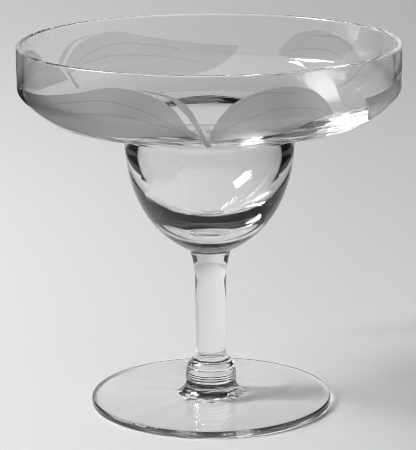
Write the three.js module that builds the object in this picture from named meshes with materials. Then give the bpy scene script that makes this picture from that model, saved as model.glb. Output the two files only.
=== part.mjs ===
// Footed cocktail glass: a wide saucer bowl that drops into a small cup, a solid stem, a knop and a
// round foot. Millimetres, +Z up, standing on z = 0 with the glass's axis on Z.
// The four gathers of glass are made apart and sealed to each other, flat face on flat face.
import * as THREE from "three";

// Facets round the axis, and steps along each curved stretch of an outline
const ROUND_SEGMENTS = 64;
const LONG_SEGMENTS = 14;
const CURVE_SEGMENTS = 7;
const SHORT_SEGMENTS = 3;

// Foot: a thin disc that rises gently to a flared collar, hollowed a little under its middle
const FOOT_RADIUS = 37.9;
const FOOT_EDGE = 2.2;
const FOOT_EDGE_ROUND = 0.5;
const FOOT_RISE = 0.9;
const FOOT_HOLLOW = 0.9;
const FOOT_REST_WIDTH = 2.4;
const COLLAR_FLARE = 3.3;
const COLLAR_HEIGHT = 4.2;

// Knop: a squat dome between foot and stem, widest a little above its seal with the collar
const KNOP_SEAL_RADIUS = 7.85;
const KNOP_BULGE = 0.2;
const KNOP_BELLY_HEIGHT = 1.2;
const KNOP_HEIGHT = 6.8;

// Stem: a solid rod that swells a little into the knop and more into the bowl
const STEM_RADIUS = 4.8;
const STEM_TAPER = 0.15;
const STEM_LENGTH = 34.4;
const STEM_FOOT_SWELL = 0.4;
const STEM_FOOT_SWELL_LENGTH = 1.6;
const STEM_TOP_SWELL = 1.3;
const STEM_TOP_SWELL_LENGTH = 8.5;

// Cup: the thick lower part of the bowl
const CUP_RADIUS = 26.5;
const CUP_HEIGHT = 39.4;
const CUP_WALL = 4.1;
const CUP_BASE = 9.6;
const CUP_STRAIGHT = 2.75;
const CUP_SEAT_STEP = 0.9;
const CUP_SEAT_HEIGHT = 1.4;
const CUP_SEAT_SLOPE = 0.486;
const CUP_NECK_FILLET = 2.2;

// Saucer: the wide upper part of the bowl; its floor rolls over a round mouth down into the cup
const RIM_RADIUS = 59.0;
const RIM_WALL = 1.4;
const SAUCER_DEPTH = 27.2;
const SAUCER_STRAIGHT = 13.0;
const SAUCER_FLOOR = 2.9;
const SAUCER_DISH = 4.4;
const SAUCER_CORNER = 10.2;
const MOUTH_FLOOR = 4.15;
const MOUTH_RUN = 10.0;
const MOUTH_DROP = 7.2;

// Fullness of a curve: the share of the way that each of its handles leads to the corner it rounds off
const ROUND_SHARE = 0.55;
const SWEEP_SHARE = 0.67;
const CUP_LOW_SHARE = 0.9;
const CUP_HIGH_SHARE = 0.31;
const CORNER_LOW_SHARE = 0.1;
const CORNER_HIGH_SHARE = 0.47;

// Radii and heights of the seals between the pieces
const STEM_FOOT_RADIUS = STEM_RADIUS + STEM_FOOT_SWELL;
const STEM_WIDE_RADIUS = STEM_RADIUS + STEM_TAPER;
const STEM_TOP_RADIUS = STEM_WIDE_RADIUS + STEM_TOP_SWELL;
const FOOT_HEIGHT = FOOT_EDGE + FOOT_RISE + COLLAR_HEIGHT;
const STEM_BASE = FOOT_HEIGHT + KNOP_HEIGHT;
const BOWL_BASE = STEM_BASE + STEM_LENGTH;

const at = (radius, height) => new THREE.Vector2(radius, height);

// Half of a turned piece's section, drawn from the axis at the bottom, up the outside and back to the axis.
class Outline {
  constructor(start) {
    this.points = [start];
  }

  line(end) {
    this.points.push(end);
    return this;
  }

  // A curve that rounds off a corner: it leaves and arrives along the corner's two sides.
  bend(corner, end, steps, leaving = ROUND_SHARE, arriving = ROUND_SHARE) {
    const start = this.points.at(-1);
    const firstHandle = start.clone().lerp(corner, leaving);
    const lastHandle = end.clone().lerp(corner, arriving);
    const curve = new THREE.CubicBezierCurve(start, firstHandle, lastHandle, end);
    this.points.push(...curve.getPoints(steps).slice(1));
    return this;
  }

  turn() {
    const upright = Math.PI / 2;
    return new THREE.LatheGeometry(this.points, ROUND_SEGMENTS).rotateX(upright);
  }
}

function footGeometry() {
  const restOutside = FOOT_RADIUS - FOOT_EDGE_ROUND;
  const restInside = restOutside - FOOT_REST_WIDTH;
  const collarRadius = KNOP_SEAL_RADIUS + COLLAR_FLARE;
  const collarBase = FOOT_EDGE + FOOT_RISE;
  return new Outline(at(0, FOOT_HOLLOW))
    .bend(at(collarRadius, FOOT_HOLLOW), at(restInside, 0), CURVE_SEGMENTS)
    .line(at(restOutside, 0))
    .bend(at(FOOT_RADIUS, 0), at(FOOT_RADIUS, FOOT_EDGE_ROUND), SHORT_SEGMENTS)
    .line(at(FOOT_RADIUS, FOOT_EDGE - FOOT_EDGE_ROUND))
    .bend(at(FOOT_RADIUS, FOOT_EDGE), at(restOutside, FOOT_EDGE), SHORT_SEGMENTS)
    .line(at(collarRadius, collarBase))
    .bend(at(KNOP_SEAL_RADIUS, collarBase), at(KNOP_SEAL_RADIUS, FOOT_HEIGHT), CURVE_SEGMENTS)
    .line(at(0, FOOT_HEIGHT))
    .turn();
}

function knopGeometry() {
  const belly = KNOP_SEAL_RADIUS + KNOP_BULGE;
  return new Outline(at(0, 0))
    .line(at(KNOP_SEAL_RADIUS, 0))
    .bend(at(belly, 0), at(belly, KNOP_BELLY_HEIGHT), SHORT_SEGMENTS)
    .bend(at(belly, KNOP_HEIGHT), at(STEM_FOOT_RADIUS, KNOP_HEIGHT), CURVE_SEGMENTS)
    .line(at(0, KNOP_HEIGHT))
    .turn();
}

function stemGeometry() {
  const topSwellStart = STEM_LENGTH - STEM_TOP_SWELL_LENGTH;
  const topSwellMiddle = STEM_LENGTH - STEM_TOP_SWELL_LENGTH / 2;
  return new Outline(at(0, 0))
    .line(at(STEM_FOOT_RADIUS, 0))
    .bend(at(STEM_RADIUS, 0), at(STEM_RADIUS, STEM_FOOT_SWELL_LENGTH), SHORT_SEGMENTS)
    .line(at(STEM_WIDE_RADIUS, topSwellStart))
    .bend(
      at(STEM_WIDE_RADIUS, topSwellMiddle),
      at(STEM_TOP_RADIUS, STEM_LENGTH),
      CURVE_SEGMENTS,
      SWEEP_SHARE,
      SWEEP_SHARE,
    )
    .line(at(0, STEM_LENGTH))
    .turn();
}

function bowlGeometry() {
  const rim = CUP_HEIGHT + SAUCER_DEPTH;
  const lip = RIM_WALL / 2;
  const wallBase = rim - SAUCER_STRAIGHT;

  const seatRadius = STEM_TOP_RADIUS + CUP_SEAT_STEP;
  const cupCorner = CUP_SEAT_HEIGHT + (CUP_RADIUS - seatRadius) * CUP_SEAT_SLOPE;
  const neckRadius = CUP_RADIUS + CUP_NECK_FILLET;
  const neckBase = CUP_HEIGHT - CUP_NECK_FILLET;

  const cornerRadius = RIM_RADIUS - SAUCER_CORNER;
  const cornerBase = CUP_HEIGHT + SAUCER_DISH;
  const dishSlope = SAUCER_DISH / (cornerRadius - neckRadius);
  const cornerPoint = cornerBase + SAUCER_CORNER * dishSlope;

  const inside = RIM_RADIUS - RIM_WALL;
  const bore = CUP_RADIUS - CUP_WALL;
  const mouthRadius = bore + MOUTH_RUN;
  const mouthTop = CUP_HEIGHT + MOUTH_FLOOR;
  const boreTop = mouthTop - MOUTH_DROP;
  const floorEdge = cornerBase + SAUCER_FLOOR;
  const floorSlope = (floorEdge - mouthTop) / (cornerRadius - mouthRadius);
  const floorPoint = floorEdge + (inside - cornerRadius) * floorSlope;
  const mouthPoint = mouthTop - MOUTH_RUN * floorSlope;

  return new Outline(at(0, 0))
    .line(at(STEM_TOP_RADIUS, 0))
    .bend(at(STEM_TOP_RADIUS, CUP_SEAT_HEIGHT), at(seatRadius, CUP_SEAT_HEIGHT), SHORT_SEGMENTS)
    .bend(at(CUP_RADIUS, cupCorner), at(CUP_RADIUS, neckBase), LONG_SEGMENTS, CUP_LOW_SHARE, CUP_HIGH_SHARE)
    .bend(at(CUP_RADIUS, CUP_HEIGHT), at(neckRadius, CUP_HEIGHT), SHORT_SEGMENTS)
    .line(at(cornerRadius, cornerBase))
    .bend(
      at(RIM_RADIUS, cornerPoint),
      at(RIM_RADIUS, wallBase),
      CURVE_SEGMENTS,
      CORNER_LOW_SHARE,
      CORNER_HIGH_SHARE,
    )
    .line(at(RIM_RADIUS, rim - lip))
    .bend(at(RIM_RADIUS, rim), at(RIM_RADIUS - lip, rim), SHORT_SEGMENTS)
    .bend(at(inside, rim), at(inside, rim - lip), SHORT_SEGMENTS)
    .line(at(inside, wallBase))
    .bend(
      at(inside, floorPoint),
      at(cornerRadius, floorEdge),
      CURVE_SEGMENTS,
      CORNER_HIGH_SHARE,
      CORNER_LOW_SHARE,
    )
    .line(at(mouthRadius, mouthTop))
    .bend(at(bore, mouthPoint), at(bore, boreTop), CURVE_SEGMENTS)
    .line(at(bore, boreTop - CUP_STRAIGHT))
    .bend(at(bore, CUP_BASE), at(0, CUP_BASE), LONG_SEGMENTS)
    .turn();
}

// Each piece stands on the seal below it.
function piece(name, geometry, base) {
  const glass = new THREE.MeshStandardMaterial({ color: 0xf2f4f3, roughness: 0.03, metalness: 0 });
  const mesh = new THREE.Mesh(geometry, glass);
  mesh.name = name;
  mesh.position.z = base;
  return mesh;
}

const cocktailGlass = new THREE.Group();
cocktailGlass.name = "footed_cocktail_glass";
cocktailGlass.add(
  piece("foot", footGeometry(), 0),
  piece("knop", knopGeometry(), FOOT_HEIGHT),
  piece("stem", stemGeometry(), STEM_BASE),
  piece("bowl", bowlGeometry(), BOWL_BASE),
);

export default cocktailGlass;
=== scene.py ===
import functools
import math

import bmesh
import bpy
from mathutils import Matrix, Vector, noise
from mathutils.geometry import interpolate_bezier


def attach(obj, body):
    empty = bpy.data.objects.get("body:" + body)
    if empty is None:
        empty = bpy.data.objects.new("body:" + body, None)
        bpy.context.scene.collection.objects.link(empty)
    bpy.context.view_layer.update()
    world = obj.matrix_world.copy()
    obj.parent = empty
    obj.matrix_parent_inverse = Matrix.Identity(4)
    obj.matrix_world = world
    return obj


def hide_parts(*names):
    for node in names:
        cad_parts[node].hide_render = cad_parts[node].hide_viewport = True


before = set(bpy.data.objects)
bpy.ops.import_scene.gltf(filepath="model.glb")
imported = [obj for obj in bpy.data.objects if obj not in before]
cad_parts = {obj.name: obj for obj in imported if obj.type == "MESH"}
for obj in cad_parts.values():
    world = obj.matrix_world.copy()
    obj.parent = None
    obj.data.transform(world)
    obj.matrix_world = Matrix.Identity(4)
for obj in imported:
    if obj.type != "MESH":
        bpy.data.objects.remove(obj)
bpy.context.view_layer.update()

MM = 0.001

# Fineness of the turned pieces: steps round the axis, and along each curved stretch of an outline
TURN_STEPS = 320
LONG_STEPS = 56
STEPS = 20
SHORT_STEPS = 12
FINE_STEPS = 96

# Foot, in millimetres
FOOT_RADIUS = 37.9
FOOT_EDGE = 2.2
FOOT_EDGE_ROUND = 0.5
FOOT_RISE = 0.9
FOOT_HOLLOW = 0.9
FOOT_REST_WIDTH = 2.4
COLLAR_FLARE = 3.3
COLLAR_HEIGHT = 4.2

# Knop
KNOP_SEAL_RADIUS = 7.85
KNOP_BULGE = 0.2
KNOP_BELLY_HEIGHT = 1.2
KNOP_HEIGHT = 6.8

# Stem
STEM_RADIUS = 4.8
STEM_TAPER = 0.15
STEM_LENGTH = 34.4
STEM_FOOT_SWELL = 0.4
STEM_FOOT_SWELL_LENGTH = 1.6
STEM_TOP_SWELL = 1.3
STEM_TOP_SWELL_LENGTH = 8.5

# Cup
CUP_RADIUS = 26.5
CUP_HEIGHT = 39.4
CUP_WALL = 4.1
CUP_BASE = 9.6
CUP_STRAIGHT = 2.75
CUP_SEAT_STEP = 0.9
CUP_SEAT_HEIGHT = 1.4
CUP_SEAT_SLOPE = 0.486
CUP_NECK_FILLET = 2.2

# Saucer
RIM_RADIUS = 59.0
RIM_WALL = 1.4
SAUCER_DEPTH = 27.2
SAUCER_STRAIGHT = 13.0
SAUCER_FLOOR = 2.9
SAUCER_DISH = 4.4
SAUCER_CORNER = 10.2
MOUTH_FLOOR = 4.15
MOUTH_RUN = 10.0
MOUTH_DROP = 7.2

# Tool marks: fine rings at the knop's seam and above it, and a hollow in the middle of the underside
KNOP_SEAM = 0.0
KNOP_RINGS = (KNOP_SEAM, 1.2, 1.9, 2.6, 4.4)
RING_DEPTH = 0.12
RING_WIDTH = 0.2
PONTIL_RADIUS = 8.5
PONTIL_HOLLOW = 1.3

# Unevenness of the underside's middle; the collar above has a share of it
UNEVEN_HEIGHT = 0.2
UNEVEN_SIZE = 2.2
COLLAR_SHARE = 0.4
COLLAR_REACH = 12.0
COLLAR_FADE = 2.5
SEAM_FADE = 0.6

# How far each handle of a curve leads to the corner that the curve rounds off
ROUND = 0.55
SWEEP = 0.67
CUP_LOW = 0.9
CUP_HIGH = 0.31
CORNER_LOW = 0.1
CORNER_HIGH = 0.47

# Radii and heights of the seals between the pieces, and the foot of the saucer's round corner
STEM_FOOT_RADIUS = STEM_RADIUS + STEM_FOOT_SWELL
STEM_WIDE_RADIUS = STEM_RADIUS + STEM_TAPER
STEM_TOP_RADIUS = STEM_WIDE_RADIUS + STEM_TOP_SWELL
FOOT_HEIGHT = FOOT_EDGE + FOOT_RISE + COLLAR_HEIGHT
STEM_BASE = FOOT_HEIGHT + KNOP_HEIGHT
BOWL_BASE = STEM_BASE + STEM_LENGTH
CORNER_BASE = BOWL_BASE + CUP_HEIGHT + SAUCER_DISH


class Outline:
    """Half of a turned piece's section, from the axis at the bottom, up the outside and back."""

    def __init__(self, base, radius, height):
        self.base = base
        self.points = [self.at(radius, height)]

    def at(self, radius, height):
        return Vector((radius, 0, self.base + height)) * MM

    def line(self, radius, height):
        self.points.append(self.at(radius, height))
        return self

    def bend(self, corner, end, steps, leaving=ROUND, arriving=ROUND):
        """Round off a corner on the way to the end."""
        start, corner, end = self.points[-1], self.at(*corner), self.at(*end)
        first = start.lerp(corner, leaving)
        last = end.lerp(corner, arriving)
        self.points += interpolate_bezier(start, first, last, end, steps + 1)[1:]
        return self

    def ringed(self, heights):
        """Cut fine rings into the outline at these heights above the foot's top."""
        for point in self.points:
            offsets = [point.z / MM - FOOT_HEIGHT - height for height in heights]
            depth = sum(RING_DEPTH * math.exp(-(offset / RING_WIDTH) ** 2) for offset in offsets)
            point.x = max(0, point.x - depth * MM)
        return self


def foot_outline():
    rest_outside = FOOT_RADIUS - FOOT_EDGE_ROUND
    rest_inside = rest_outside - FOOT_REST_WIDTH
    collar_radius = KNOP_SEAL_RADIUS + COLLAR_FLARE
    collar_base = FOOT_EDGE + FOOT_RISE
    line = Outline(0, 0, FOOT_HOLLOW + PONTIL_HOLLOW)
    for step in range(1, FINE_STEPS + 1):
        share = step / FINE_STEPS
        line.line(PONTIL_RADIUS * share, FOOT_HOLLOW + PONTIL_HOLLOW * (1 - share ** 2))
    line.bend((collar_radius, FOOT_HOLLOW), (rest_inside, 0), STEPS)
    line.line(rest_outside, 0)
    line.bend((FOOT_RADIUS, 0), (FOOT_RADIUS, FOOT_EDGE_ROUND), SHORT_STEPS)
    line.line(FOOT_RADIUS, FOOT_EDGE - FOOT_EDGE_ROUND)
    line.bend((FOOT_RADIUS, FOOT_EDGE), (rest_outside, FOOT_EDGE), SHORT_STEPS)
    line.line(collar_radius, collar_base)
    line.bend((KNOP_SEAL_RADIUS, collar_base), (KNOP_SEAL_RADIUS, FOOT_HEIGHT), FINE_STEPS)
    return line.line(0, FOOT_HEIGHT).ringed([KNOP_SEAM])


def knop_outline():
    belly = KNOP_SEAL_RADIUS + KNOP_BULGE
    line = Outline(FOOT_HEIGHT, 0, 0)
    line.line(KNOP_SEAL_RADIUS, 0)
    line.bend((belly, 0), (belly, KNOP_BELLY_HEIGHT), SHORT_STEPS)
    line.bend((belly, KNOP_HEIGHT), (STEM_FOOT_RADIUS, KNOP_HEIGHT), FINE_STEPS)
    return line.line(0, KNOP_HEIGHT).ringed(KNOP_RINGS)


def stem_outline():
    swell_start = STEM_LENGTH - STEM_TOP_SWELL_LENGTH
    swell_middle = STEM_LENGTH - STEM_TOP_SWELL_LENGTH / 2
    line = Outline(STEM_BASE, 0, 0)
    line.line(STEM_FOOT_RADIUS, 0)
    line.bend((STEM_RADIUS, 0), (STEM_RADIUS, STEM_FOOT_SWELL_LENGTH), SHORT_STEPS)
    line.line(STEM_WIDE_RADIUS, swell_start)
    line.bend((STEM_WIDE_RADIUS, swell_middle), (STEM_TOP_RADIUS, STEM_LENGTH), STEPS, SWEEP, SWEEP)
    return line.line(0, STEM_LENGTH)


def bowl_outline():
    rim = CUP_HEIGHT + SAUCER_DEPTH
    lip = RIM_WALL / 2
    wall_base = rim - SAUCER_STRAIGHT
    seat_radius = STEM_TOP_RADIUS + CUP_SEAT_STEP
    cup_corner = CUP_SEAT_HEIGHT + (CUP_RADIUS - seat_radius) * CUP_SEAT_SLOPE
    neck_radius = CUP_RADIUS + CUP_NECK_FILLET
    neck_base = CUP_HEIGHT - CUP_NECK_FILLET
    corner_radius = RIM_RADIUS - SAUCER_CORNER
    corner_base = CUP_HEIGHT + SAUCER_DISH
    dish_slope = SAUCER_DISH / (corner_radius - neck_radius)
    corner_point = corner_base + SAUCER_CORNER * dish_slope
    inside = RIM_RADIUS - RIM_WALL
    bore = CUP_RADIUS - CUP_WALL
    mouth_radius = bore + MOUTH_RUN
    mouth_top = CUP_HEIGHT + MOUTH_FLOOR
    bore_top = mouth_top - MOUTH_DROP
    floor_edge = corner_base + SAUCER_FLOOR
    floor_slope = (floor_edge - mouth_top) / (corner_radius - mouth_radius)
    floor_point = floor_edge + (inside - corner_radius) * floor_slope
    mouth_point = mouth_top - MOUTH_RUN * floor_slope

    line = Outline(BOWL_BASE, 0, 0)
    line.line(STEM_TOP_RADIUS, 0)
    line.bend((STEM_TOP_RADIUS, CUP_SEAT_HEIGHT), (seat_radius, CUP_SEAT_HEIGHT), SHORT_STEPS)
    line.bend((CUP_RADIUS, cup_corner), (CUP_RADIUS, neck_base), LONG_STEPS, CUP_LOW, CUP_HIGH)
    line.bend((CUP_RADIUS, CUP_HEIGHT), (neck_radius, CUP_HEIGHT), STEPS)
    line.line(corner_radius, corner_base)
    line.bend((RIM_RADIUS, corner_point), (RIM_RADIUS, wall_base), STEPS, CORNER_LOW, CORNER_HIGH)
    line.line(RIM_RADIUS, rim - lip)
    line.bend((RIM_RADIUS, rim), (RIM_RADIUS - lip, rim), SHORT_STEPS)
    line.bend((inside, rim), (inside, rim - lip), SHORT_STEPS)
    line.line(inside, wall_base)
    line.bend((inside, floor_point), (corner_radius, floor_edge), STEPS, CORNER_HIGH, CORNER_LOW)
    line.line(mouth_radius, mouth_top)
    line.bend((bore, mouth_point), (bore, bore_top), STEPS)
    line.line(bore, bore_top - CUP_STRAIGHT)
    line.bend((bore, CUP_BASE), (0, CUP_BASE), LONG_STEPS)
    return line


# Where the middle of a soft edge lies between 0 and 1
EDGE_MIDDLE = 0.5


class Nodes:
    """Adds shader nodes to one node tree and joins them.

    A value is a number, a colour or another node's output.
    """

    def __init__(self, tree):
        self.tree = tree

    def feed(self, socket, value):
        if isinstance(value, bpy.types.NodeSocket):
            self.tree.links.new(value, socket)
        else:
            socket.default_value = value

    def add(self, kind, **inputs):
        node = self.tree.nodes.new(kind)
        for name, value in inputs.items():
            self.feed(node.inputs[name.replace("_", " ")], value)
        return node

    def math(self, operation, *values, clamp=False):
        node = self.tree.nodes.new("ShaderNodeMath")
        node.operation = operation
        node.use_clamp = clamp
        for socket, value in zip(node.inputs, values):
            self.feed(socket, value)
        return node.outputs[0]

    def mix_colour(self, share, first, second):
        node = self.tree.nodes.new("ShaderNodeMix")
        node.data_type = "RGBA"
        self.feed(node.inputs["Factor"], share)
        self.feed(node.inputs["A"], first)
        self.feed(node.inputs["B"], second)
        return node.outputs["Result"]

    def split(self, vector):
        """How far a place or a direction goes to the right, to the back and up."""
        return self.add("ShaderNodeSeparateXYZ", Vector=vector).outputs

    def ramp(self, value, start, end, kind="LINEAR", **ends):
        """0 up to the start and 1 from the end on, or the ends that are given."""
        node = self.add("ShaderNodeMapRange", Value=value, From_Min=start, From_Max=end, **ends)
        node.interpolation_type = kind
        return node.outputs["Result"]

    def past(self, value, limit, softness):
        """1 where the value is above the limit and 0 below it, with a soft edge between."""
        distance = self.math("SUBTRACT", value, limit)
        return self.math("MULTIPLY_ADD", distance, 1 / softness, EDGE_MIDDLE, clamp=True)

    def between(self, value, low, high, softness):
        """1 between the two limits, with soft edges."""
        return self.both(self.past(value, low, softness), self.past(high, value, softness))

    def both(self, first, second):
        return self.math("MULTIPLY", first, second)

    def either(self, first, second):
        return self.math("MAXIMUM", first, second)


# Leaf cut: a sprig that repeats three times round the saucer's outside, in millimetres on the wall.
# Round the corner, the way outwards counts as way up by the corner's lean.
SPRIGS = 3
SPRIG_FOOT = 87.5
CORNER_LEAN = 0.48
SHORT_LEAF_ROOM = 50.0
LEAF_SPAN = 80.0
LEAF_RISE = 30.0
LEAF_EDGE = 0.25
VEIN_WIDTH = 0.4

# A leaf's points go from its root to its tip: along the wall, and up from the round corner's foot.
LONG_LEAF_TOP = [
    (0, 4), (4.4, 9), (7.8, 14.8), (11.8, 19), (18, 21.8),
    (27, 23.1), (42, 20.2), (59, 17.4), (72, 16.8),
]
LONG_LEAF_FOOT = [
    (0, 4), (5, 7), (15, 7), (30, 4.6), (42, 2.6),
    (50, 3), (57.5, 4.6), (63, 6.8), (68, 11), (72, 16.8),
]
LONG_LEAF_VEINS = [
    [(8, 10), (15, 15.4), (25, 18.4), (30, 19), (42, 17.6), (52, 15.6)],
    [(6, 7.5), (13, 12.2), (23, 14.8), (30, 15.1), (45, 13.3), (60, 9.5)],
]
SHORT_LEAF_TOP = [
    (0, 5), (1.2, 12.5), (3.6, 16.4), (8.6, 20.5), (15, 22.7),
    (22, 23.5), (29, 22.4), (35, 18.4), (38, 14),
]
SHORT_LEAF_FOOT = [(0, 5), (8, 5.7), (17, 6.8), (24, 8.2), (31, 12.2), (38, 14)]
SHORT_LEAF_VEINS = [
    [(3, 12), (8.6, 19.2), (15, 22), (20, 21.9), (26, 21.4)],
    [(3, 9), (8.6, 14), (14, 15.8), (20, 17.3), (27, 17), (34, 15.6)],
]
BLADE_START = -1.1
BLADE_TOP = [
    (0, 0.5), (1.7, 4.4), (3.1, 9.8), (5.2, 15.8),
    (8, 19.2), (11.7, 21.4), (15.2, 22.2), (22, 22.9),
]
BLADE_FOOT = [
    (0, 0), (2, 0.6), (3.6, 5), (5.2, 11.6), (7.2, 15.5),
    (9.5, 18), (12, 20.5), (15.2, 21.7), (22, 22.7),
]


class Sprig:
    """Where a point of the saucer's outside lies on the leaf cut: along the wall, and up it."""

    def __init__(self, nodes):
        self.nodes = nodes
        right, back, height = nodes.split(nodes.add("ShaderNodeTexCoord").outputs["Object"])
        front = nodes.math("MULTIPLY", back, -1)
        angle = nodes.math("ARCTAN2", right, front)
        left = nodes.math("MULTIPLY", angle, -RIM_RADIUS)
        repeat = math.tau * RIM_RADIUS / SPRIGS
        self.left = nodes.math("WRAP", left, repeat - SHORT_LEAF_ROOM, -SHORT_LEAF_ROOM)
        self.right = nodes.math("MULTIPLY", self.left, -1)
        across = nodes.math("MULTIPLY", right, right)
        radius = nodes.math("SQRT", nodes.math("MULTIPLY_ADD", back, back, across))
        start = -CORNER_LEAN * RIM_RADIUS - SPRIG_FOOT
        lean = nodes.math("MULTIPLY_ADD", radius, CORNER_LEAN / MM, start)
        self.up = nodes.math("MULTIPLY_ADD", height, 1 / MM, lean)

    def curve(self, along, points):
        """Height of a curve through the points, above its place along the wall."""
        node = self.nodes.add("ShaderNodeFloatCurve")
        share = self.nodes.math("DIVIDE", along, LEAF_SPAN, clamp=True)
        self.nodes.feed(node.inputs["Value"], share)
        line = node.mapping.curves[0]
        for extra in range(len(points) - len(line.points)):
            line.points.new(extra, 0)
        for point, (run, rise) in zip(line.points, points):
            point.location = (run / LEAF_SPAN, rise / LEAF_RISE)
            point.handle_type = "AUTO"
        node.mapping.update()
        return self.nodes.math("MULTIPLY", node.outputs[0], LEAF_RISE)

    def span(self, along, points):
        """1 between the first and the last point along the wall."""
        return self.nodes.between(along, points[0][0], points[-1][0], LEAF_EDGE)

    def blade(self, along, top, foot):
        """1 between a leaf's two edges."""
        foot_height, top_height = self.curve(along, foot), self.curve(along, top)
        body = self.nodes.between(self.up, foot_height, top_height, LEAF_EDGE)
        return self.nodes.both(body, self.span(along, top))

    def vein(self, along, points):
        """1 on a fine line through the points."""
        offset = self.nodes.math("SUBTRACT", self.up, self.curve(along, points))
        distance = self.nodes.math("ABSOLUTE", offset)
        line = self.nodes.past(VEIN_WIDTH / 2, distance, LEAF_EDGE)
        return self.nodes.both(line, self.span(along, points))

    def frosted(self):
        """1 where a leaf is ground into the wall."""
        long_leaf = self.blade(self.left, LONG_LEAF_TOP, LONG_LEAF_FOOT)
        short_leaf = self.blade(self.right, SHORT_LEAF_TOP, SHORT_LEAF_FOOT)
        from_start = self.nodes.math("SUBTRACT", self.left, BLADE_START)
        arch = self.blade(from_start, BLADE_TOP, BLADE_FOOT)
        return self.nodes.either(arch, self.nodes.either(long_leaf, short_leaf))

    def veined(self):
        """1 on the leaves' veins."""
        long_veins = [self.vein(self.left, points) for points in LONG_LEAF_VEINS]
        short_veins = [self.vein(self.right, points) for points in SHORT_LEAF_VEINS]
        return functools.reduce(self.nodes.either, long_veins + short_veins)


# Finishes; the waves are in millimetres
GLASS_COLOUR = (0.985, 0.99, 0.988, 1)
GLASS_ROUGHNESS = 0.0
GLASS_IOR = 1.5
GLASS_TRANSMISSION = 1.0
WAVE_SIZE = 9.0
WAVE_DETAIL = 1.0
WAVE_HEIGHT = 0.012
WAVE_STRENGTH = 1.0
# Frost and vein greys are painted shade on the outside of the wall; the paler inside greys are painted
# light.
FROST_PAINTED_SHADE_COLOUR = (0.42, 0.425, 0.422, 1)
FROST_INSIDE_PAINTED_LIGHT_COLOUR = (0.64, 0.645, 0.642, 1)
VEIN_PAINTED_SHADE_COLOUR = (0.27, 0.275, 0.272, 1)
VEIN_INSIDE_PAINTED_LIGHT_COLOUR = (0.45, 0.455, 0.452, 1)
FROST_ROUGHNESS = 0.42
SEAL_ALPHA = 0.0


def plain_material(name):
    material = bpy.data.materials.new(name)
    material.use_nodes = True
    return material, Nodes(material.node_tree), material.node_tree.nodes["Principled BSDF"]


def glass_material(name):
    """Clear glass, wavy by a hundredth of a millimetre or so, as blown and pressed glass is."""
    material, nodes, shader = plain_material(name)
    shader.inputs["Base Color"].default_value = GLASS_COLOUR
    shader.inputs["Roughness"].default_value = GLASS_ROUGHNESS
    shader.inputs["IOR"].default_value = GLASS_IOR
    shader.inputs["Transmission Weight"].default_value = GLASS_TRANSMISSION
    place = nodes.add("ShaderNodeTexCoord").outputs["Object"]
    wave = nodes.add("ShaderNodeTexNoise", Vector=place, Scale=1 / (WAVE_SIZE * MM), Detail=WAVE_DETAIL)
    bump = nodes.add("ShaderNodeBump", Strength=WAVE_STRENGTH, Distance=WAVE_HEIGHT * MM)
    nodes.feed(bump.inputs["Height"], wave.outputs["Fac"])
    nodes.feed(shader.inputs["Normal"], bump.outputs["Normal"])
    return material, nodes, shader


def leaf_material(name):
    """The same glass, frosted where the leaves are cut. The frost and its veins are greyed as painted
    shade, darker seen from outside the wall, and paler from inside the wall as painted light.
    """
    material, nodes, shader = glass_material(name)
    sprig = Sprig(nodes)
    frosted = sprig.frosted()
    inside = nodes.add("ShaderNodeNewGeometry").outputs["Backfacing"]
    # Painted shade and light: the frost and its darker veins are grey, darker from outside the wall and
    # paler from inside.
    frost_painted_light_and_shade = nodes.mix_colour(inside, FROST_PAINTED_SHADE_COLOUR, FROST_INSIDE_PAINTED_LIGHT_COLOUR)
    vein = nodes.mix_colour(inside, VEIN_PAINTED_SHADE_COLOUR, VEIN_INSIDE_PAINTED_LIGHT_COLOUR)
    ground = nodes.mix_colour(sprig.veined(), frost_painted_light_and_shade, vein)
    nodes.feed(shader.inputs["Roughness"], nodes.math("MULTIPLY", frosted, FROST_ROUGHNESS))
    nodes.feed(shader.inputs["Base Color"], nodes.mix_colour(frosted, GLASS_COLOUR, ground))
    return material


def seal_material(name):
    """The sealed faces inside the glass, where two gathers have become one: nothing shows there."""
    material, _, shader = plain_material(name)
    shader.inputs["Alpha"].default_value = SEAL_ALPHA
    return material


clear_glass, *_ = glass_material("clear_glass")
MATERIALS = [clear_glass, seal_material("sealed_joint"), leaf_material("leaf_cut_glass")]
CLEAR, SEALED, LEAVES = range(len(MATERIALS))

# How a face is told to be a seal or the saucer's outside, and which points are one; distances in metres
SEAL_FLATNESS = 0.999
SEAL_DISTANCE = 1e-6
OUTSIDE_FACING = 0.2
WELD_DISTANCE = 1e-7


def finish_of(face, seals):
    """Which material a face of a turned piece has."""
    centre = face.calc_center_median()
    flat = abs(face.normal.z) > SEAL_FLATNESS
    if flat and any(abs(centre.z - seal * MM) < SEAL_DISTANCE for seal in seals):
        return SEALED
    outward = face.normal.dot(Vector((centre.x, centre.y, 0)).normalized())
    if centre.z > CORNER_BASE * MM and outward > OUTSIDE_FACING:
        return LEAVES
    return CLEAR


def fade(distance, width):
    return min(1, max(0, distance / width))


def make_uneven(mesh):
    """Move the collar's and the underside's glass in and out a little, as the tools left it."""
    mesh.normal_update()
    moves = []
    for vert in mesh.verts:
        reach = COLLAR_REACH - vert.co.xy.length / MM
        below = FOOT_HEIGHT - vert.co.z / MM
        share = fade(reach, COLLAR_FADE) * fade(below, SEAM_FADE)
        if vert.normal.z > 0:
            share *= COLLAR_SHARE
        lump = noise.noise(vert.co / (UNEVEN_SIZE * MM))
        moves.append(vert.normal * share * UNEVEN_HEIGHT * lump * MM)
    for vert, move in zip(mesh.verts, moves):
        vert.co += move


def sort_faces(mesh):
    """Put the faces in one order, because spin leaves them in another at each run."""
    mesh.verts.index_update()
    count = len(mesh.verts)
    mesh.faces.sort(key=lambda face: face.verts[0].index * count + face.verts[2].index)


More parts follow.
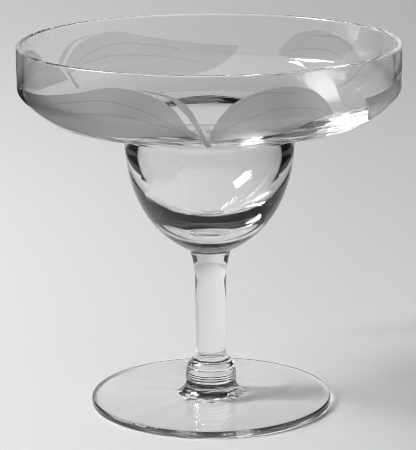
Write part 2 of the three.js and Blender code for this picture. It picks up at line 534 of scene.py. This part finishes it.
def placed(name, mesh, materials):
    """Turn a bmesh into an object of the scene."""
    data = bpy.data.meshes.new(name)
    mesh.to_mesh(data)
    mesh.free()
    for material in materials:
        data.materials.append(material)
    piece = bpy.data.objects.new(name, data)
    bpy.context.scene.collection.objects.link(piece)
    return piece


def turned_piece(name, outline, seals, uneven):
    """The outline spun round the axis."""
    mesh = bmesh.new()
    verts = [mesh.verts.new(point) for point in outline.points]
    edges = [mesh.edges.new(pair) for pair in zip(verts, verts[1:])]
    bmesh.ops.spin(
        mesh, geom=verts + edges, cent=(0, 0, 0), axis=(0, 0, 1),
        angle=math.tau, steps=TURN_STEPS, use_merge=True,
    )
    bmesh.ops.remove_doubles(mesh, verts=mesh.verts, dist=WELD_DISTANCE)
    bmesh.ops.recalc_face_normals(mesh, faces=mesh.faces)
    sort_faces(mesh)
    if uneven:
        make_uneven(mesh)
    for face in mesh.faces:
        face.material_index = finish_of(face, seals)
        face.smooth = face.material_index != SEALED
    for edge in mesh.edges:
        sealed = {face.material_index == SEALED for face in edge.link_faces}
        edge.smooth = len(sealed) == 1
    return placed(name, mesh, MATERIALS)


PIECES = {
    "foot": (foot_outline(), [FOOT_HEIGHT]),
    "knop": (knop_outline(), [FOOT_HEIGHT, STEM_BASE]),
    "stem": (stem_outline(), [STEM_BASE, BOWL_BASE]),
    "bowl": (bowl_outline(), [BOWL_BASE]),
}
for node, (outline, seals) in PIECES.items():
    piece = turned_piece(f"{node}_glass", outline, seals, uneven=node == "foot")
    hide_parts(node)
    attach(piece, "root")

# Floor and background, in metres: a sheet of pale paper, a hair below the foot
FLOOR_SIZE = 6.0
FLOOR_PARTS = 2
FLOOR_DROP = 0.00005
FLOOR_COLOUR = (0.78, 0.78, 0.78, 1)
PAPER_ROUGHNESS = 0.9
PAPER_SPECULAR = 0.1
BACKGROUND_COLOUR = (0.58, 0.58, 0.58, 1)
DARK_COLOUR = (0.006, 0.006, 0.006, 1)

# Further off, the paper's colour darkens and a painted glow in the background's colour takes over from
# the lamp's light, so no horizon shows.
GLOW_START = 0.05
GLOW_END = 2.0
HORIZON_START = 1.0
HORIZON_END = 2.8

# The room's light and the paper's painted glow are brighter towards the window on the left. Where the
# lamp lights the paper strongly, the paper's colour is darkened as painted shade.
WINDOW_SIDE = 0.2
WINDOW_FLOOR_START = -0.16
WINDOW_FLOOR_END = -0.45
LAMP_FLOOR_PAINTED_SHADE_COLOUR = (0.36, 0.36, 0.36, 1)

# The background ends under a dark ceiling, which is lower for light that the glass throws back often.
BACKGROUND_TOP = math.sin(math.radians(16))
CEILING_START = math.sin(math.radians(28))
CEILING_DROP = 0.2

# Painted dark reflections, which show only in the glass: the room and floor beside the paper and in
# front of it, dark patches painted on the floor in place of cards, and painted shade under the foot.
ROOM_SIDE = math.radians(35)
ROOM_EDGE = math.radians(3)
SIDE_START = math.sin(math.radians(1.7))
SIDE_EDGE = 0.02
PAPER_SIDE = 0.132
PAPER_EDGE = 0.01
FRONT_START = 0.25
PAINTED_CARD_NEAR = 0.108
PAINTED_CARD_FAR = 0.2
PAINTED_CARD_START = 0.025
PAINTED_CARD_END = 0.1
PAINTED_SHADE_START = 0.014
PAINTED_SHADE_END = 0.045

# How often light was thrown back, let in or scattered is a whole number: these lie between two of them.
ONCE = 0.5
TWICE = 1.5


class LightPath:
    """What has happened to the light that shows a place, as 1 or 0 each."""

    def __init__(self, nodes):
        path = nodes.add("ShaderNodeLightPath").outputs
        self.thrown = nodes.math("GREATER_THAN", path["Glossy Depth"], ONCE)
        self.thrown_often = nodes.math("GREATER_THAN", path["Glossy Depth"], TWICE)
        self.entered = nodes.math("GREATER_THAN", path["Transmission Depth"], ONCE)
        self.direct = nodes.math("LESS_THAN", path["Diffuse Depth"], ONCE)
        self.seen = nodes.math("SUBTRACT", 1, path["Is Diffuse Ray"])


def window_side(nodes, place):
    """A brightness that is higher towards the window on the left and lower on the right."""
    direction = nodes.add("ShaderNodeVectorMath", Vector=place)
    direction.operation = "NORMALIZE"
    right, *_ = nodes.split(direction.outputs["Vector"])
    brighter, dimmer = 1 + WINDOW_SIDE, 1 - WINDOW_SIDE
    return nodes.ramp(right, -WINDOW_SIDE, WINDOW_SIDE, To_Min=brighter, To_Max=dimmer)


def dark_floor(nodes, place, path):
    """1 where the floor is painted dark, which shows only in the glass."""
    right, back, _ = nodes.split(place)
    side = nodes.math("ABSOLUTE", right)
    ahead = nodes.math("ABSOLUTE", back)
    beside = nodes.past(side, PAPER_SIDE, PAPER_EDGE)
    in_front = nodes.past(-FRONT_START, back, PAPER_EDGE)
    beyond = nodes.both(path.thrown, nodes.either(beside, in_front))
    across = nodes.between(side, PAINTED_CARD_NEAR, PAINTED_CARD_FAR, PAPER_EDGE)
    along = nodes.between(ahead, PAINTED_CARD_START, PAINTED_CARD_END, PAPER_EDGE)
    # Painted dark reflection: dark patches like cards on the floor beside the glass, seen only through
    # the glass.
    painted_cards = nodes.both(path.entered, nodes.both(across, along))
    under_foot = nodes.between(nodes.either(side, ahead), PAINTED_SHADE_START, PAINTED_SHADE_END, PAPER_EDGE)
    # Painted shade under the foot, for light that the glass has thrown back often.
    painted_foot_shade = nodes.both(path.thrown_often, under_foot)
    return nodes.both(path.direct, nodes.either(painted_foot_shade, nodes.either(beyond, painted_cards)))


def floor_material():
    material, nodes, shader = plain_material("pale_paper")
    shader.inputs["Roughness"].default_value = PAPER_ROUGHNESS
    shader.inputs["Specular IOR Level"].default_value = PAPER_SPECULAR
    shader.inputs["Emission Color"].default_value = BACKGROUND_COLOUR
    place = nodes.add("ShaderNodeTexCoord").outputs["Object"]
    path = LightPath(nodes)
    # Painted dark reflection: the paper is dark where it shows in the glass beside, in front and under
    # the foot.
    dark = dark_floor(nodes, place, path)
    right, *_ = nodes.split(place)
    # Painted shade: the paper is darker near the lamp, where the lamp lights it strongly.
    near_lamp_painted_shade = nodes.both(path.seen, nodes.ramp(right, WINDOW_FLOOR_START, WINDOW_FLOOR_END))
    pale = nodes.mix_colour(near_lamp_painted_shade, FLOOR_COLOUR, LAMP_FLOOR_PAINTED_SHADE_COLOUR)
    length = nodes.add("ShaderNodeVectorMath", Vector=place)
    length.operation = "LENGTH"
    distance = length.outputs["Value"]
    far_off = nodes.both(path.seen, nodes.ramp(distance, HORIZON_START, HORIZON_END))
    colour = nodes.mix_colour(nodes.either(dark, far_off), pale, DARK_COLOUR)
    nodes.feed(shader.inputs["Base Color"], colour)
    # Painted light: the paper glows more the further it is from the glass, and more towards the window
    # on the left.
    painted_glow = nodes.both(nodes.ramp(distance, GLOW_START, GLOW_END), window_side(nodes, place))
    shown = nodes.both(path.seen, nodes.math("SUBTRACT", 1, dark))
    nodes.feed(shader.inputs["Emission Strength"], nodes.both(painted_glow, shown))
    return material


def pale_floor():
    mesh = bmesh.new()
    bmesh.ops.create_grid(mesh, x_segments=FLOOR_PARTS, y_segments=FLOOR_PARTS, size=FLOOR_SIZE / 2)
    bmesh.ops.translate(mesh, verts=mesh.verts, vec=(0, 0, -FLOOR_DROP))
    floor = placed("floor", mesh, [floor_material()])


def room():
    world = bpy.data.worlds.new("room")
    bpy.context.scene.world = world
    world.use_nodes = True
    nodes = Nodes(world.node_tree)
    direction = nodes.add("ShaderNodeTexCoord").outputs["Generated"]
    path = LightPath(nodes)
    right, back, rise = nodes.split(direction)
    raised = nodes.math("MULTIPLY_ADD", path.thrown_often, CEILING_DROP, rise)
    ceiling = nodes.ramp(raised, BACKGROUND_TOP, CEILING_START, kind="SMOOTHSTEP")
    side = nodes.math("ABSOLUTE", right)
    ahead = nodes.math("ABSOLUTE", back)
    aside = nodes.past(nodes.math("ARCTAN2", side, ahead), ROOM_SIDE, ROOM_EDGE)
    in_front = nodes.math("LESS_THAN", back, 0.0)
    # Painted dark reflection: in the glass, the room beside the paper and in front of it shows dark.
    beyond = nodes.both(path.thrown, nodes.either(aside, in_front))
    above = nodes.past(rise, SIDE_START, SIDE_EDGE)
    beside = nodes.both(path.entered, nodes.both(aside, above))
    in_glass = nodes.both(path.direct, nodes.either(beside, beyond))
    dark = nodes.either(ceiling, in_glass)
    background = world.node_tree.nodes["Background"]
    colour = nodes.mix_colour(dark, BACKGROUND_COLOUR, DARK_COLOUR)
    nodes.feed(background.inputs["Color"], colour)
    nodes.feed(background.inputs["Strength"], window_side(nodes, direction))


# Lamp: a window on the left, in metres and watts
WINDOW_PLACE = Vector((-0.72, -0.05, 0.7))
WINDOW_AIM = Vector((0, 0, 0.05))
WINDOW_WIDTH = 0.3
WINDOW_HEIGHT = 0.45
WINDOW_POWER = 12


def window_lamp():
    data = bpy.data.lights.new("window_left", "AREA")
    data.shape = "RECTANGLE"
    data.size = WINDOW_WIDTH
    data.size_y = WINDOW_HEIGHT
    data.energy = WINDOW_POWER
    lamp = bpy.data.objects.new("window_left", data)
    lamp.location = WINDOW_PLACE
    lamp.rotation_euler = (WINDOW_AIM - WINDOW_PLACE).to_track_quat("-Z", "Y").to_euler()
    bpy.context.scene.collection.objects.link(lamp)


# Camera at the photograph's viewing angle
CAMERA_PLACE = Vector((-0.69, -670.3, 224.6)) * MM
CAMERA_PITCH = math.radians(14.02)
CAMERA_ROLL = math.radians(-0.42)
CAMERA_LENS = 176.9
CAMERA_SENSOR = 36


def photo_camera():
    data = bpy.data.cameras.new("camera")
    data.lens = CAMERA_LENS
    data.sensor_width = CAMERA_SENSOR
    camera = bpy.data.objects.new("camera", data)
    tilt = Matrix.Rotation(math.pi / 2 - CAMERA_PITCH, 4, "X")
    roll = Matrix.Rotation(CAMERA_ROLL, 4, "Z")
    camera.matrix_world = Matrix.Translation(CAMERA_PLACE) @ tilt @ roll
    bpy.context.scene.collection.objects.link(camera)
    bpy.context.scene.camera = camera


pale_floor()
room()
window_lamp()
photo_camera()

# Light meets many faces of the glass on its way, so it may bounce often, and stays sharp.
ALL_BOUNCES = 96
GLASS_BOUNCES = 64
SEAL_BOUNCES = 24
FILTER_WIDTH = 0.9

bpy.context.scene.view_settings.view_transform = "Standard"
bpy.context.scene.cycles.max_bounces = ALL_BOUNCES
bpy.context.scene.cycles.transmission_bounces = GLASS_BOUNCES
bpy.context.scene.cycles.glossy_bounces = GLASS_BOUNCES
bpy.context.scene.cycles.transparent_max_bounces = SEAL_BOUNCES
bpy.context.scene.cycles.blur_glossy = 0.0
bpy.context.scene.cycles.filter_width = FILTER_WIDTH
bpy.context.scene.cycles.sample_clamp_indirect = 0.0
